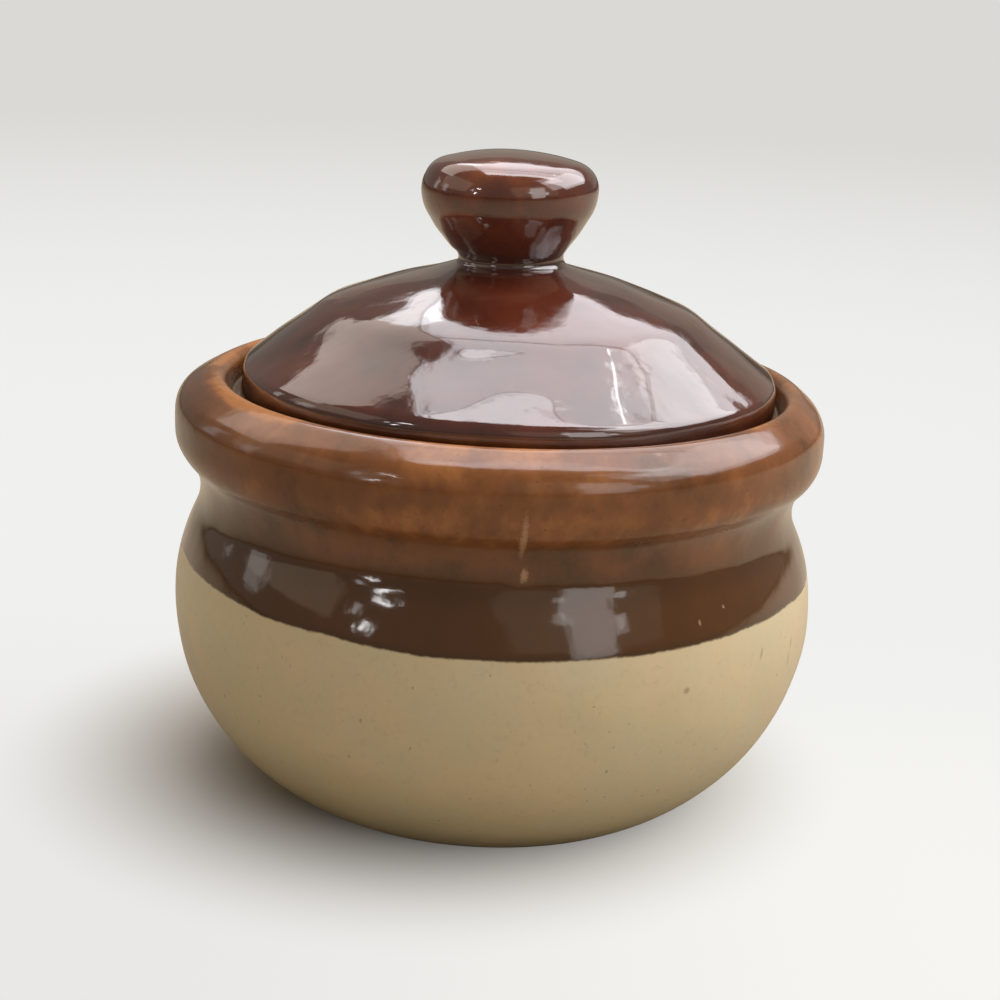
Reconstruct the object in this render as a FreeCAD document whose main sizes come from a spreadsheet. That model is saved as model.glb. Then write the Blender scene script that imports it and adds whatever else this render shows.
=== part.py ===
import FreeCAD, Part
import math
import os
import Sketcher
from FreeCAD import Vector

# A lidded stoneware soup crock, turned about +Z and standing on its foot at z = 0.
# Millimetres. The crock is a rolled-rim pot. The lid is a domed cover with a solid
# mushroom knob: it lies on a flat seat inside the rim, a flange below it keeps it
# centred in the mouth, and nothing else holds it.

# --------------------------------------------------------------------------
# Driving dimensions: alias, size, meaning
# --------------------------------------------------------------------------
SIZES = [
    # crock, outside
    ("rim_dia", 124.0, "widest diameter of the rolled rim"),
    ("belly_inset", 0.2, "outside of the rim in to the outside of the belly"),
    ("neck_depth", 5.0, "outside of the rim in to the neck groove"),
    ("foot_tuck", 22.1, "outside of the belly in to the edge of the foot"),
    ("belly_height", 37.2, "table to the widest part of the belly"),
    ("shoulder_rise", 20.9, "widest part of the belly up to the neck groove"),
    ("roll_rise", 12.05, "neck groove up to where the roll is widest"),
    ("neck_round", 9.6, "radius of the neck groove"),
    ("roll_flat", 3.0, "upright stretch on the outside of the roll"),
    ("heel_round", 1.2, "softened edge between belly and foot"),
    # crock, inside
    ("wall", 6.0, "thickness of the belly"),
    ("floor_thickness", 6.0, "thickness of the floor"),
    ("floor_round", 14.0, "inner corner between floor and belly"),
    ("throat_depth", 15.0, "straight throat below the seat"),
    ("throat_round", 12.0, "radius from the throat into the belly"),
    # foot
    ("foot_width", 5.0, "width of the standing ring"),
    ("recess_depth", 1.6, "hollow inside the standing ring"),
    ("recess_round", 1.4, "inner corner of that hollow"),
    # seat for the lid
    ("lip_width", 9.5, "outside of the rim to the gallery wall at the seat"),
    ("lip_slope", 72.0, "slope of the gallery wall, degrees"),
    ("lip_round", 1.8, "radius from the crest into the gallery wall"),
    ("crest_land", 0.2, "flat on the crest between that radius and the roll"),
    ("seat_depth", 4.0, "crest down to the flat seat"),
    ("seat_width", 4.8, "width of the flat seat"),
    ("seat_round", 0.8, "softened edge and corner of the seat"),
    # lid
    ("lid_gap", 1.3, "radial clearance of the lid in the gallery"),
    ("band_height", 5.2, "upright edge of the lid above the seat"),
    ("edge_round", 2.4, "rounding above that edge"),
    ("flank_slope", 36.5, "slope of the flank, degrees"),
    ("flank_width", 14.3, "outside of the lid in to where the flank ends"),
    ("shoulder_round", 12.0, "radius between flank and crown"),
    ("crown_slope", 19.5, "slope of the crown, degrees"),
    ("lid_wall", 5.5, "thickness of the lid"),
    ("crown_cap", 30.0, "radius that closes the hollow under the crown"),
    ("flange_gap", 1.3, "radial clearance of the flange in the mouth"),
    ("flange_depth", 6.0, "flange below the seat"),
    ("flange_wall", 4.5, "thickness of the flange"),
    ("flange_round", 1.5, "softened lower edges of the flange"),
    ("hollow_round", 3.0, "corner between flange and hollow"),
    # knob
    ("knob_dia", 32.6, "widest diameter of the knob"),
    ("knob_neck_dia", 20.0, "narrowest diameter of the knob"),
    ("knob_root_round", 1.5, "radius from the crown into the knob"),
    ("knob_lift", 12.82, "centre of the root radius up to the widest part"),
    ("knob_under_round", 9.5, "radius below the widest part"),
    ("knob_top_rise", 6.7, "widest part up to the top"),
    ("knob_top_round", 5.0, "radius above the widest part"),
]
SIZE = {alias: size for alias, size, _ in SIZES}

# Sizes that more than one sketch reads, as expressions over the sheet Sizes.
LEAN = "(Sizes.lip_slope * 1deg)"
GALLERY_R = "(Sizes.rim_dia / 2 - Sizes.lip_width)"
LIP_R = f"({GALLERY_R} + Sizes.seat_depth / tan({LEAN}) + Sizes.lip_round * tan({LEAN} / 2))"
CREST_R = f"({LIP_R} + Sizes.crest_land)"
CREST_ROUND = f"(Sizes.rim_dia / 2 - {CREST_R})"
NECK = "(Sizes.belly_height + Sizes.shoulder_rise)"
CREST = f"({NECK} + Sizes.roll_rise + Sizes.roll_flat + {CREST_ROUND})"
SEAT = f"({CREST} - Sizes.seat_depth)"
FLOOR = "(Sizes.recess_depth + Sizes.floor_thickness)"
BELLY_R = "(Sizes.rim_dia / 2 - Sizes.belly_inset)"
NECK_R = "(Sizes.rim_dia / 2 - Sizes.neck_depth)"
FOOT_R = f"({BELLY_R} - Sizes.foot_tuck)"
MOUTH_R = f"({GALLERY_R} - Sizes.seat_width)"
LID_R = f"({GALLERY_R} - Sizes.lid_gap)"
FLANGE_R = f"({MOUTH_R} - Sizes.flange_gap)"
HOLLOW_R = f"({FLANGE_R} - Sizes.flange_wall)"
RECESS_R = f"({FOOT_R} - Sizes.foot_width)"
LOWER_R = "((Sizes.foot_tuck ^ 2 + Sizes.belly_height ^ 2) / (2 * Sizes.foot_tuck))"
FLANK = "(Sizes.flank_slope * 1deg)"
EDGE_R = f"({LID_R} - Sizes.edge_round * (1 - sin({FLANK})))"
EDGE_Z = f"(Sizes.band_height + Sizes.edge_round * cos({FLANK}))"
SHOULDER_R = f"({LID_R} - Sizes.flank_width)"
FLANK_TOP = f"({EDGE_Z} + ({EDGE_R} - {SHOULDER_R}) * tan({FLANK}))"

OVERRUN = 1.0    # how far a cutting profile runs past the face that it opens
NEAR = 0.001     # how closely an edge has to lie where it is looked for

doc = FreeCAD.newDocument("soup_crock")
sheet = doc.addObject("Spreadsheet::Sheet", "Sizes")
for row, (alias, size, note) in enumerate(SIZES, start=1):
    sheet.set(f"A{row}", note)
    sheet.set(f"B{row}", str(size))
    sheet.setAlias(f"B{row}", alias)
doc.recompute()


def value(expression):
    """The number that an expression over the sheet gives now."""
    return float(sheet.evalExpression(expression.replace("Sizes.", "")))


# --------------------------------------------------------------------------
# Sketch helpers: half-sections drawn as X = radius, Y = height
# --------------------------------------------------------------------------
START, END, CENTRE = 1, 2, 3
ORIGIN = -1


class Section:
    """A half-section on the XZ plane of one body, with its sizes tied to the sheet."""

    def __init__(self, body, name):
        self.sketch = body.newObject("Sketcher::SketchObject", name)
        plane = [f for f in body.Origin.OriginFeatures if f.Role == "XZ_Plane"][0]
        self.sketch.AttachmentSupport = (plane, "")
        self.sketch.MapMode = "FlatFace"

    def line(self, start, end):
        segment = Part.LineSegment(Vector(*start), Vector(*end))
        return self.sketch.addGeometry(segment, False)

    def arc(self, centre, radius, start, end):
        """An arc that runs anticlockwise from the direction of start to that of end."""
        first = math.atan2(start[1] - centre[1], start[0] - centre[0])
        last = math.atan2(end[1] - centre[1], end[0] - centre[0])
        circle = Part.Circle(Vector(*centre), Vector(0, 0, 1), radius)
        return self.sketch.addGeometry(Part.ArcOfCircle(circle, first, last), False)

    def rule(self, *terms):
        return self.sketch.addConstraint(Sketcher.Constraint(*terms))

    def meet(self, first, first_end, second, second_end):
        self.rule("Coincident", first, first_end, second, second_end)

    def smooth(self, first, first_end, second, second_end):
        self.rule("Tangent", first, first_end, second, second_end)

    def level(self, first, first_end, second, second_end):
        self.rule("Horizontal", first, first_end, second, second_end)

    def tie(self, index, expression):
        self.sketch.setExpression(f"Constraints[{index}]", expression)

    def radius(self, arc, expression):
        self.tie(self.rule("Radius", arc, value(expression)), expression)

    def at_r(self, piece, end, expression):
        terms = ("DistanceX", ORIGIN, START, piece, end, value(expression))
        self.tie(self.rule(*terms), expression)

    def at_z(self, piece, end, expression):
        terms = ("DistanceY", ORIGIN, START, piece, end, value(expression))
        self.tie(self.rule(*terms), expression)

    def above(self, low, low_end, high, high_end, expression):
        terms = ("DistanceY", low, low_end, high, high_end, value(expression))
        self.tie(self.rule(*terms), expression)

    def slope(self, line, expression):
        """The angle of a line, from +X, as its points run."""
        angle = math.radians(value(expression))
        self.tie(self.rule("Angle", line, angle), expression)

    def on_axis(self, piece, end):
        self.rule("PointOnObject", piece, end, -2)


def away(point, distance, angle):
    """The point at a distance from another, in a direction given in radians."""
    return (point[0] + distance * math.cos(angle), point[1] + distance * math.sin(angle))


def towards(start, end, distance):
    angle = math.atan2(end[1] - start[1], end[0] - start[0])
    return away(start, distance, angle)


def swell(edge, level, centre, radius):
    """Radius of the arc that is widest at (edge, level) and touches a circle outside it."""
    across = centre[0] - edge
    up = centre[1] - level
    return (across ** 2 + up ** 2 - radius ** 2) / (2 * (radius - across))


def turn(body, section, kind, name):
    """A full turn of a half-section about Z: a Revolution, or a Groove that cuts."""
    feature = body.newObject(f"PartDesign::{kind}", name)
    feature.Profile = section.sketch
    feature.ReferenceAxis = (section.sketch, ["V_Axis"])
    feature.Angle = 360
    doc.recompute()
    return feature


def soften(body, name, circles, size):
    """A Fillet on the round edges at the given (radius, height) expressions."""
    wanted = [(value(r), value(z)) for r, z in circles]
    found = []
    base = body.Tip
    for number, edge in enumerate(base.Shape.Edges, start=1):
        if edge.Degenerated or not isinstance(edge.Curve, Part.Circle):
            continue
        here = (edge.Curve.Radius, edge.Curve.Center.z)
        if any(math.dist(here, place) < NEAR for place in wanted):
            found.append(f"Edge{number}")
    if len(found) != len(wanted):
        raise SystemExit(f"{name}: {len(found)} of {len(wanted)} edges found")
    fillet = body.newObject("PartDesign::Fillet", name)
    fillet.Base = (base, found)
    fillet.setExpression("Radius", size)
    doc.recompute()


# --------------------------------------------------------------------------
# Crock
# --------------------------------------------------------------------------
def crock_outside(body):
    """Foot, belly, neck groove and rolled rim, as one solid turned shape."""
    rim_r = SIZE["rim_dia"] / 2
    belly_r = value(BELLY_R)
    foot_r = value(FOOT_R)
    belly_z = SIZE["belly_height"]
    crest = value(CREST)
    crest_r = value(CREST_R)
    crest_round = value(CREST_ROUND)
    groove = (value(NECK_R) + SIZE["neck_round"], value(NECK))
    widest = groove[1] + SIZE["roll_rise"]
    lower_r = value(LOWER_R)
    upper_r = swell(belly_r, belly_z, groove, SIZE["neck_round"])
    roll_r = swell(rim_r, widest, groove, SIZE["neck_round"])
    lower_c = (belly_r - lower_r, belly_z)
    upper_c = (belly_r - upper_r, belly_z)
    roll_c = (rim_r - roll_r, widest)
    crest_c = (crest_r, crest - crest_round)
    shoulder = towards(groove, upper_c, SIZE["neck_round"])
    under_roll = towards(groove, roll_c, SIZE["neck_round"])

    s = Section(body, "CrockOutside")
    foot = s.line((0, 0), (foot_r, 0))
    lower = s.arc(lower_c, lower_r, (foot_r, 0), (belly_r, belly_z))
    upper = s.arc(upper_c, upper_r, (belly_r, belly_z), shoulder)
    neck = s.arc(groove, SIZE["neck_round"], under_roll, shoulder)
    roll = s.arc(roll_c, roll_r, under_roll, (rim_r, widest))
    side = s.line((rim_r, widest), (rim_r, crest_c[1]))
    top = s.arc(crest_c, crest_round, (rim_r, crest_c[1]), (crest_r, crest))
    cover = s.line((crest_r, crest), (0, crest))
    axis = s.line((0, crest), (0, 0))

    s.meet(foot, START, ORIGIN, START)
    s.rule("Horizontal", foot)
    s.meet(foot, END, lower, START)
    s.level(lower, CENTRE, lower, END)
    s.smooth(lower, END, upper, START)
    s.smooth(upper, END, neck, END)
    s.smooth(neck, START, roll, START)
    s.smooth(roll, END, side, START)
    s.rule("Vertical", side)
    s.smooth(side, END, top, START)
    s.smooth(top, END, cover, START)
    s.rule("Horizontal", cover)
    s.meet(cover, END, axis, START)
    s.meet(axis, END, ORIGIN, START)
    s.rule("Vertical", axis)

    s.at_r(foot, END, FOOT_R)
    s.at_r(lower, END, BELLY_R)
    s.at_z(lower, END, "Sizes.belly_height")
    s.at_r(neck, CENTRE, f"{NECK_R} + Sizes.neck_round")
    s.at_z(neck, CENTRE, NECK)
    s.radius(neck, "Sizes.neck_round")
    s.at_r(side, START, "Sizes.rim_dia / 2")
    s.above(neck, CENTRE, side, START, "Sizes.roll_rise")
    s.above(side, START, side, END, "Sizes.roll_flat")
    s.radius(top, CREST_ROUND)
    turn(body, s, "Revolution", "Outside")


def crock_inside(body):
    """The soup's space: floor, belly at an even wall, and a straight throat."""
    floor = value(FLOOR)
    belly_z = SIZE["belly_height"]
    inner_r = value(BELLY_R) - SIZE["wall"]
    mouth_r = value(MOUTH_R)
    top_z = value(CREST) + OVERRUN
    throat_z = value(SEAT) - SIZE["throat_depth"]
    lower_r = value(LOWER_R) - SIZE["wall"]
    lower_c = (inner_r - lower_r, belly_z)
    throat_c = (mouth_r + SIZE["throat_round"], throat_z)
    upper_r = swell(inner_r, belly_z, throat_c, SIZE["throat_round"])
    upper_c = (inner_r - upper_r, belly_z)
    bulge = towards(throat_c, upper_c, SIZE["throat_round"])
    corner_z = floor + SIZE["floor_round"]
    reach = lower_r - SIZE["floor_round"]
    corner_r = lower_c[0] + math.sqrt(reach ** 2 - (belly_z - corner_z) ** 2)
    corner_c = (corner_r, corner_z)
    corner_end = towards(lower_c, corner_c, lower_r)

    s = Section(body, "CrockInside")
    base = s.line((0, floor), (corner_r, floor))
    corner = s.arc(corner_c, SIZE["floor_round"], (corner_r, floor), corner_end)
    lower = s.arc(lower_c, lower_r, corner_end, (inner_r, belly_z))
    upper = s.arc(upper_c, upper_r, (inner_r, belly_z), bulge)
    round_in = s.arc(throat_c, SIZE["throat_round"], (mouth_r, throat_z), bulge)
    throat = s.line((mouth_r, throat_z), (mouth_r, top_z))
    cover = s.line((mouth_r, top_z), (0, top_z))
    axis = s.line((0, top_z), (0, floor))

    s.on_axis(base, START)
    s.rule("Horizontal", base)
    s.smooth(base, END, corner, START)
    s.smooth(corner, END, lower, START)
    s.level(lower, CENTRE, lower, END)
    s.smooth(lower, END, upper, START)
    s.smooth(upper, END, round_in, END)
    s.smooth(round_in, START, throat, START)
    s.rule("Vertical", throat)
    s.meet(throat, END, cover, START)
    s.rule("Horizontal", cover)
    s.meet(cover, END, axis, START)
    s.meet(axis, END, base, START)
    s.rule("Vertical", axis)

    s.at_z(base, START, FLOOR)
    s.radius(corner, "Sizes.floor_round")
    s.radius(lower, f"{LOWER_R} - Sizes.wall")
    s.at_r(lower, END, f"{BELLY_R} - Sizes.wall")
    s.at_z(lower, END, "Sizes.belly_height")
    s.radius(round_in, "Sizes.throat_round")
    s.at_r(throat, START, MOUTH_R)
    s.at_z(throat, START, f"{SEAT} - Sizes.throat_depth")
    s.at_z(throat, END, f"{CREST} + {OVERRUN}")
    turn(body, s, "Groove", "Inside")


def crock_gallery(body):
    """The step inside the rim: a flat seat, a leaning wall and the crest's inner round."""
    seat = value(SEAT)
    foot = (value(GALLERY_R), seat)
    lean = math.radians(SIZE["lip_slope"])
    lip_r = SIZE["lip_round"]
    crest = (value(LIP_R), value(CREST))
    lip_c = (crest[0], crest[1] - lip_r)
    lip_foot = away(lip_c, lip_r, lean + math.pi / 2)
    start_r = value(MOUTH_R) - OVERRUN
    top_z = crest[1] + OVERRUN

    s = Section(body, "CrockGallery")
    ledge = s.line((start_r, seat), foot)
    wall = s.line(foot, lip_foot)
    lip = s.arc(lip_c, lip_r, crest, lip_foot)
    rise = s.line(crest, (crest[0], top_z))
    cover = s.line((crest[0], top_z), (start_r, top_z))
    inner = s.line((start_r, top_z), (start_r, seat))

    s.rule("Horizontal", ledge)
    s.meet(ledge, END, wall, START)
    s.smooth(wall, END, lip, END)
    s.meet(lip, START, rise, START)
    s.rule("Vertical", lip, CENTRE, lip, START)
    s.rule("Vertical", rise)
    s.meet(rise, END, cover, START)
    s.rule("Horizontal", cover)
    s.meet(cover, END, inner, START)
    s.rule("Vertical", inner)
    s.meet(inner, END, ledge, START)

    s.at_z(ledge, START, SEAT)
    s.at_r(ledge, START, f"{MOUTH_R} - {OVERRUN}")
    s.at_r(wall, START, GALLERY_R)
    s.slope(wall, "Sizes.lip_slope")
    s.radius(lip, "Sizes.lip_round")
    s.at_z(lip, START, CREST)
    s.at_z(cover, START, f"{CREST} + {OVERRUN}")
    turn(body, s, "Groove", "Gallery")


def crock_foot(body):
    """The shallow hollow that leaves a narrow ring to stand on."""
    edge = value(RECESS_R)
    depth = SIZE["recess_depth"]
    bend = SIZE["recess_round"]

    s = Section(body, "CrockFoot")
    roof = s.line((0, depth), (edge - bend, depth))
    corner = s.arc((edge - bend, depth - bend), bend, (edge, depth - bend), (edge - bend, depth))
    wall = s.line((edge, depth - bend), (edge, -OVERRUN))
    below = s.line((edge, -OVERRUN), (0, -OVERRUN))
    axis = s.line((0, -OVERRUN), (0, depth))

    s.on_axis(roof, START)
    s.rule("Horizontal", roof)
    s.smooth(roof, END, corner, END)
    s.smooth(corner, START, wall, START)
    s.rule("Vertical", wall)
    s.meet(wall, END, below, START)
    s.rule("Horizontal", below)
    s.meet(below, END, axis, START)
    s.meet(axis, END, roof, START)
    s.rule("Vertical", axis)

    s.at_z(roof, START, "Sizes.recess_depth")
    s.radius(corner, "Sizes.recess_round")
    s.at_r(wall, END, RECESS_R)
    s.rule("DistanceY", below, END, ORIGIN, START, OVERRUN)
    turn(body, s, "Groove", "FootRecess")


def make_crock():
    body = doc.addObject("PartDesign::Body", "crock")
    body.Label = "crock"
    crock_outside(body)
    crock_inside(body)
    crock_gallery(body)
    crock_foot(body)
    soften(body, "Heel", [(FOOT_R, "0")], "Sizes.heel_round")
    soften(body, "SeatEdges", [(MOUTH_R, SEAT), (GALLERY_R, SEAT)], "Sizes.seat_round")
    return body


# --------------------------------------------------------------------------
# Lid, drawn with its seat at height 0 and then lifted onto the crock's seat
# --------------------------------------------------------------------------
def lid_outside(body):
    """Flange, upright edge, flank, crown and the mushroom knob."""
    lid_r = value(LID_R)
    flange_r = value(FLANGE_R)
    bottom = -SIZE["flange_depth"]
    flank = math.radians(SIZE["flank_slope"])
    crown = math.radians(SIZE["crown_slope"])
    band_z = SIZE["band_height"]
    edge_c = (lid_r - SIZE["edge_round"], band_z)
    edge_end = (value(EDGE_R), value(EDGE_Z))
    flank_end = (value(SHOULDER_R), value(FLANK_TOP))
    up = math.pi / 2
    shoulder_c = away(flank_end, SIZE["shoulder_round"], -up - flank)
    crown_foot = away(shoulder_c, SIZE["shoulder_round"], up - crown)
    root_r = SIZE["knob_neck_dia"] / 2 + SIZE["knob_root_round"]
    crown_end_r = root_r - SIZE["knob_root_round"] * math.sin(crown)
    crown_end_z = crown_foot[1] + (crown_foot[0] - crown_end_r) * math.tan(crown)
    crown_end = (crown_end_r, crown_end_z)
    root_c = away(crown_end, SIZE["knob_root_round"], up - crown)
    knob_r = SIZE["knob_dia"] / 2
    widest = root_c[1] + SIZE["knob_lift"]
    under_c = (knob_r - SIZE["knob_under_round"], widest)
    both = SIZE["knob_under_round"] + SIZE["knob_root_round"]
    span = math.dist(root_c, under_c)
    bearing = math.atan2(under_c[1] - root_c[1], under_c[0] - root_c[0])
    facing = bearing - math.acos(-both / span)
    flare_foot = away(root_c, -SIZE["knob_root_round"], facing)
    flare_end = away(under_c, SIZE["knob_under_round"], facing)
    top_c = (knob_r - SIZE["knob_top_round"], widest)
    rise = SIZE["knob_top_rise"]
    spare = 2 * (rise - SIZE["knob_top_round"])
    cap_r = (top_c[0] ** 2 + rise ** 2 - SIZE["knob_top_round"] ** 2) / spare
    cap_c = (0, widest + rise - cap_r)
    cap_foot = towards(cap_c, top_c, cap_r)
    apex = (0, widest + rise)

    s = Section(body, "LidOutside")
    below = s.line((0, bottom), (flange_r, bottom))
    flange = s.line((flange_r, bottom), (flange_r, 0))
    seat = s.line((flange_r, 0), (lid_r, 0))
    band = s.line((lid_r, 0), (lid_r, band_z))
    edge = s.arc(edge_c, SIZE["edge_round"], (lid_r, band_z), edge_end)
    side = s.line(edge_end, flank_end)
    shoulder = s.arc(shoulder_c, SIZE["shoulder_round"], flank_end, crown_foot)
    roof = s.line(crown_foot, crown_end)
    root = s.arc(root_c, SIZE["knob_root_round"], flare_foot, crown_end)
    flare = s.line(flare_foot, flare_end)
    under = s.arc(under_c, SIZE["knob_under_round"], flare_end, (knob_r, widest))
    over = s.arc(top_c, SIZE["knob_top_round"], (knob_r, widest), cap_foot)
    cap = s.arc(cap_c, cap_r, cap_foot, apex)
    axis = s.line(apex, (0, bottom))

    s.on_axis(below, START)
    s.rule("Horizontal", below)
    s.meet(below, END, flange, START)
    s.rule("Vertical", flange)
    s.meet(flange, END, seat, START)
    s.rule("PointOnObject", seat, START, -1)
    s.rule("Horizontal", seat)
    s.meet(seat, END, band, START)
    s.rule("Vertical", band)
    s.smooth(band, END, edge, START)
    s.smooth(edge, END, side, START)
    s.smooth(side, END, shoulder, START)
    s.smooth(shoulder, END, roof, START)
    s.smooth(roof, END, root, END)
    s.smooth(root, START, flare, START)
    s.smooth(flare, END, under, START)
    s.level(under, CENTRE, under, END)
    s.smooth(under, END, over, START)
    s.smooth(over, END, cap, START)
    s.on_axis(cap, CENTRE)
    s.on_axis(cap, END)
    s.meet(cap, END, axis, START)
    s.meet(axis, END, below, START)

    s.rule("DistanceY", below, START, ORIGIN, START, SIZE["flange_depth"])
    s.tie(s.sketch.ConstraintCount - 1, "Sizes.flange_depth")
    s.at_r(flange, START, FLANGE_R)
    s.at_r(band, START, LID_R)
    s.at_z(band, END, "Sizes.band_height")
    s.radius(edge, "Sizes.edge_round")
    s.slope(side, "180 - Sizes.flank_slope")
    s.at_r(side, END, SHOULDER_R)
    s.radius(shoulder, "Sizes.shoulder_round")
    s.slope(roof, "180 - Sizes.crown_slope")
    s.radius(root, "Sizes.knob_root_round")
    s.at_r(root, CENTRE, "Sizes.knob_neck_dia / 2 + Sizes.knob_root_round")
    s.above(root, CENTRE, under, CENTRE, "Sizes.knob_lift")
    s.radius(under, "Sizes.knob_under_round")
    s.at_r(under, END, "Sizes.knob_dia / 2")
    s.radius(over, "Sizes.knob_top_round")
    s.above(under, END, cap, END, "Sizes.knob_top_rise")
    turn(body, s, "Revolution", "Outside")


def lid_inside(body):
    """The hollow under the lid, which follows the flank and crown at an even wall."""
    flank = math.radians(SIZE["flank_slope"])
    crown = math.radians(SIZE["crown_slope"])
    up = math.pi / 2
    hollow_r = value(HOLLOW_R)
    below = -SIZE["flange_depth"] - OVERRUN
    outer_end = (value(SHOULDER_R), value(FLANK_TOP))
    flank_end = away(outer_end, SIZE["lid_wall"], -up - flank)
    flank_z = flank_end[1] - (hollow_r - flank_end[0]) * math.tan(flank)
    bend = SIZE["shoulder_round"] - SIZE["lid_wall"]
    shoulder_c = away(flank_end, bend, -up - flank)
    crown_foot = away(shoulder_c, bend, up - crown)
    cap_r = SIZE["crown_cap"]
    cap_foot_r = cap_r * math.sin(crown)
    cap_foot_z = crown_foot[1] + (crown_foot[0] - cap_foot_r) * math.tan(crown)
    cap_foot = (cap_foot_r, cap_foot_z)
    cap_c = (0, cap_foot_z - cap_r * math.cos(crown))
    apex = (0, cap_c[1] + cap_r)

    s = Section(body, "LidInside")
    mouth = s.line((0, below), (hollow_r, below))
    wall = s.line((hollow_r, below), (hollow_r, flank_z))
    side = s.line((hollow_r, flank_z), flank_end)
    shoulder = s.arc(shoulder_c, bend, flank_end, crown_foot)
    roof = s.line(crown_foot, cap_foot)
    cap = s.arc(cap_c, cap_r, cap_foot, apex)
    axis = s.line(apex, (0, below))

    s.on_axis(mouth, START)
    s.rule("Horizontal", mouth)
    s.meet(mouth, END, wall, START)
    s.rule("Vertical", wall)
    s.meet(wall, END, side, START)
    s.smooth(side, END, shoulder, START)
    s.smooth(shoulder, END, roof, START)
    s.smooth(roof, END, cap, START)
    s.on_axis(cap, CENTRE)
    s.on_axis(cap, END)
    s.meet(cap, END, axis, START)
    s.meet(axis, END, mouth, START)

    s.rule("DistanceY", mouth, START, ORIGIN, START, SIZE["flange_depth"] + OVERRUN)
    s.tie(s.sketch.ConstraintCount - 1, f"Sizes.flange_depth + {OVERRUN}")
    s.at_r(mouth, END, HOLLOW_R)
    s.slope(side, "180 - Sizes.flank_slope")
    s.at_r(side, END, f"{SHOULDER_R} - Sizes.lid_wall * sin({FLANK})")
    s.at_z(side, END, f"{FLANK_TOP} - Sizes.lid_wall * cos({FLANK})")
    s.radius(shoulder, "Sizes.shoulder_round - Sizes.lid_wall")
    s.slope(roof, "180 - Sizes.crown_slope")
    s.radius(cap, "Sizes.crown_cap")
    turn(body, s, "Groove", "Inside")


def make_lid():
    body = doc.addObject("PartDesign::Body", "lid")
    body.Label = "lid"
    lid_outside(body)
    lid_inside(body)
    flange_foot = "-Sizes.flange_depth"
    hollow_top = (
        f"{FLANK_TOP} - Sizes.lid_wall * cos({FLANK})"
        f" - ({HOLLOW_R} - {SHOULDER_R} + Sizes.lid_wall * sin({FLANK})) * tan({FLANK})"
    )
    soften(body, "LidHeel", [(LID_R, "0")], "Sizes.seat_round")
    feet = [(FLANGE_R, flange_foot), (HOLLOW_R, flange_foot)]
    soften(body, "FlangeFeet", feet, "Sizes.flange_round")
    soften(body, "HollowCorner", [(HOLLOW_R, hollow_top)], "Sizes.hollow_round")
    body.setExpression("Placement.Base.z", SEAT)
    return body


# --------------------------------------------------------------------------
# Build, check and write
# --------------------------------------------------------------------------
def check(part):
    """Stop at a failed feature, a loose sketch, or a shape that isn't one good solid."""
    for item in [part] + list(part.Group):
        if "Invalid" in item.State or "Error" in item.State:
            raise SystemExit(f"{part.Label}: {item.Name} failed")
        if item.TypeId == "Sketcher::SketchObject" and not item.FullyConstrained:
            raise SystemExit(f"{part.Label}: {item.Name} is not fully constrained")
    shape = part.Shape
    if shape.isNull() or not shape.isValid() or len(shape.Solids) != 1:
        raise SystemExit(f"{part.Label}: not one valid solid")


parts = [make_crock(), make_lid()]
doc.recompute()
for item in doc.Objects:
    if "Invalid" in item.State or "Error" in item.State:
        raise SystemExit(f"{item.Name} failed")
os.makedirs("parts", exist_ok=True)
for part in parts:
    check(part)
    part.Shape.exportStep(os.path.join("parts", f"{part.Label}.step"))
    box = part.Shape.optimalBoundingBox()
    print(
        f"{part.Label}: {part.Shape.Volume / 1000:.1f} ml of stoneware,"
        f" z {box.ZMin:.2f} to {box.ZMax:.2f} mm, {box.XLength:.2f} mm across"
    )
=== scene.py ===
# %% [markdown]
# # A lidded soup crock in two glazes
# The crock is a squat pot with a rolled rim, brown above and buff below. Its lid rests inside the rim. Both
# are shaped on a wheel, so each is one outline turned about one axis, with the small waves that hands and
# wet clay leave. The glaze is the other half of the object: it thins over edges, pools in hollows and
# mirrors the windows of the room.

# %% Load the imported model
import math
import bmesh
import bpy
import numpy as np
from mathutils import Matrix, Vector


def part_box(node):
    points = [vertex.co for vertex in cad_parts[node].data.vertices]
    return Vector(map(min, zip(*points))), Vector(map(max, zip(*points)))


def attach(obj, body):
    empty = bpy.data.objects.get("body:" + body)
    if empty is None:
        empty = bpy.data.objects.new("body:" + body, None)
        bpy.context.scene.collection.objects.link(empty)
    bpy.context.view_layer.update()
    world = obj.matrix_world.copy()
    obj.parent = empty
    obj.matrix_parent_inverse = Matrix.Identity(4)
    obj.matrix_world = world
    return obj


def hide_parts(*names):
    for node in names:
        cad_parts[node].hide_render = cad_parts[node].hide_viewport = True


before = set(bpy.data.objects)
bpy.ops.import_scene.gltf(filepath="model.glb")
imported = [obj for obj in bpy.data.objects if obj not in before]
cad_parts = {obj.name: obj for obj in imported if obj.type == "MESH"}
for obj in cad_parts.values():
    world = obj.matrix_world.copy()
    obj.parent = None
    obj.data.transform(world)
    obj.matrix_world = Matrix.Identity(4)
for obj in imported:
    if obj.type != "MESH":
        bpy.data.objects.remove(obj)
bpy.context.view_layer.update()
MM = 0.001
crock_low, crock_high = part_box("crock")
lid_low, lid_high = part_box("lid")
print("crock", [round(v / MM, 1) for v in crock_high - crock_low], "lid seated at", round(lid_low.z / MM, 2))

# %% [markdown]
# ## The camera
# A little above the pot and close to it, with a long lens. The whole picture is turned by a small angle, as
# when a camera is held by hand, so the camera is rolled about its own line of sight.

# %% Place the camera
CAMERA_AT = Vector((0.82, -392.1, 167.9)) * MM
CAMERA_DOWN, CAMERA_ROLL = math.radians(16), math.radians(2.65)
LENS, FILM_WIDTH = 75.02, 36.0

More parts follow.
